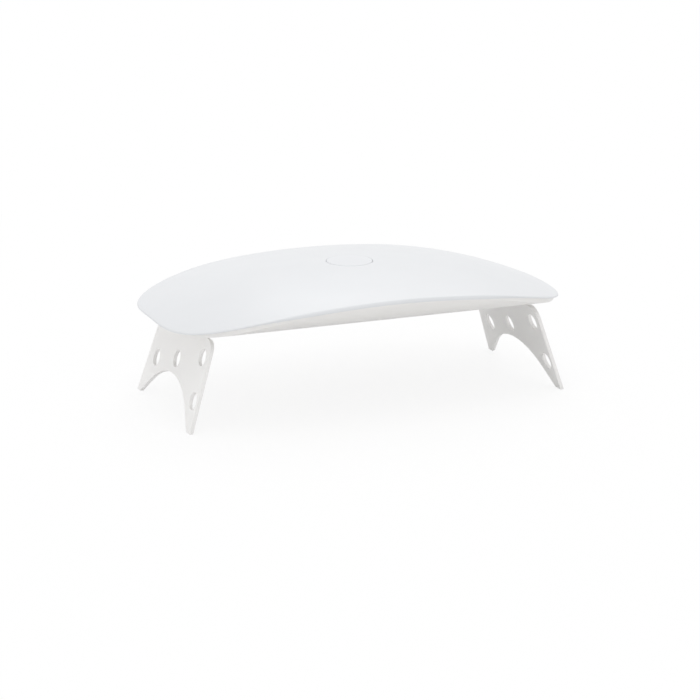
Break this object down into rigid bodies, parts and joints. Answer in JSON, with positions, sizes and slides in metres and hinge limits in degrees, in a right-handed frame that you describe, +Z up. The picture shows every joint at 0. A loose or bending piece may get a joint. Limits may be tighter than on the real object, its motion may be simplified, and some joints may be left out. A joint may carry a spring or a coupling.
{
  "type": "mini nail lamp",
  "caption": "Pebble-shaped nail curing lamp on fold-out leg plates, with a push button in its crown and lamps behind a clear window in its belly.",
  "frame": {"origin": "on the table under the middle of the lamp, with its legs open", "axes": "+X along the housing towards the end that is on the right in the picture, +Y towards its back, +Z up"},
  "size_m": [0.132, 0.078, 0.0422],
  "materials": {
    "cover": "satin moulded white ABS",
    "housing": "satin moulded white ABS",
    "button": "satin moulded white ABS",
    "leg": "matte moulded off-white ABS",
    "switch_body": "moulded black plastic",
    "switch_metal": "stamped tin-plated steel",
    "plunger": "moulded black plastic",
    "board": "green solder mask on glass laminate",
    "chip": "black moulded package",
    "resistor": "black glazed ceramic",
    "capacitor": "tan ceramic",
    "socket_metal": "nickel-plated steel",
    "socket_tongue": "moulded black plastic",
    "led_board": "white solder mask on aluminium",
    "led_body": "cream moulded package",
    "lens": "clear silicone dome",
    "window": "clear polished acrylic",
    "lead_red": "red wire insulation",
    "lead_black": "black wire insulation",
    "screw": "zinc-plated steel",
    "pin": "polished steel wire"
  },
  "bodies": {
    "housing": {"top_cover": "cover", "base_shell": "housing", "switch_housing": "switch_body", "switch_cover": "switch_metal", "control_board": "board", "controller_chip": "chip", "lamp_transistor": "chip", "chip_resistors": "resistor", "chip_capacitors": "capacitor", "usb_shell": "socket_metal", "usb_tongue": "socket_tongue", "led_board": "led_board", "uv_leds": "led_body", "led_lenses": "lens", "led_window": "window", "positive_lead": "lead_red", "negative_lead": "lead_black", "case_screws": "screw", "board_screws": "screw", "led_board_screws": "screw", "left_hinge_pin": "pin", "right_hinge_pin": "pin"},
    "button": {"timer_button": "button"},
    "plunger": {"switch_plunger": "plunger"},
    "leg_left": {"left_leg": "leg"},
    "leg_right": {"right_leg": "leg"}
  },
  "joints": [
    {"name": "left_leg_hinge", "type": "hinge", "parent": "housing", "child": "leg_left", "pos_m": [-0.0525, -0.001, 0.03035], "axis": [0, -1, 0], "range_deg": [0, 107.9]},
    {"name": "right_leg_hinge", "type": "hinge", "parent": "housing", "child": "leg_right", "pos_m": [0.0525, -0.001, 0.03035], "axis": [0, 1, 0], "range_deg": [0, 107.9]},
    {"name": "button_press", "type": "slide", "parent": "housing", "child": "button", "axis": [0, 0, -1], "range_m": [0, 0.0005], "stiffness_N_per_m": 400, "springref_m": -0.0005},
    {"name": "plunger_press", "type": "slide", "parent": "housing", "child": "plunger", "axis": [0, 0, -1], "range_m": [0, 0.0005]}
  ],
  "couplings": [
    {"joint": "plunger_press", "follows": "button_press", "ratio": 1}
  ]
}
